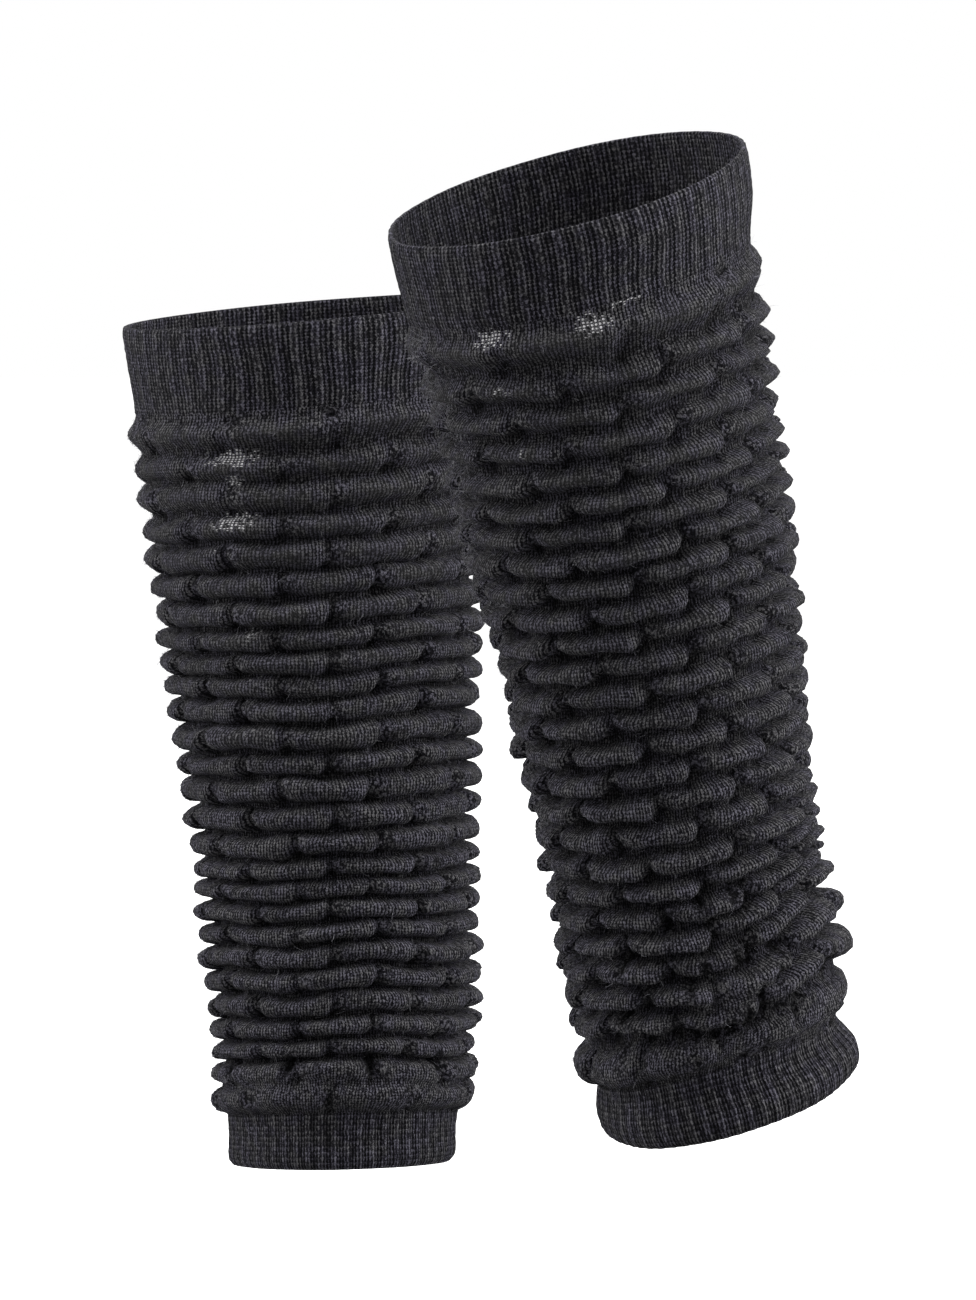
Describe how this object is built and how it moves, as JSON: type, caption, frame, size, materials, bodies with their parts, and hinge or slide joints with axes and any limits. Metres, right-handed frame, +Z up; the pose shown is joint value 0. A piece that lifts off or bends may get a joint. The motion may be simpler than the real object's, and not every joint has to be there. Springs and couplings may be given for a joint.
{
  "type": "pair of leg warmers",
  "caption": "Pair of footless leg warmers in dark ruched wool knit, with stacked puffy rolls between ribbed calf and ankle cuffs, filled out as when worn.",
  "frame": {"origin": "middle of the left warmer's calf cuff, on its axis, where the calf holds the warmer up", "axes": "+Z up along the leg, +X toward the right warmer, +Y away from the viewer who sees both fronts"},
  "size_m": [0.2535, 0.3053, 0.3672],
  "materials": {
    "rib_knit": "matt fine wool, 2 x 2 rib, with a light nap",
    "roll_knit": "matt fine wool, plain knit drawn into puffy rolls, fuzzy"
  },
  "bodies": {
    "root": {"left_top_cuff": "rib_knit", "left_body": "roll_knit", "left_bottom_cuff": "rib_knit", "right_top_cuff": "rib_knit", "right_body": "roll_knit", "right_bottom_cuff": "rib_knit"}
  },
  "joints": []
}
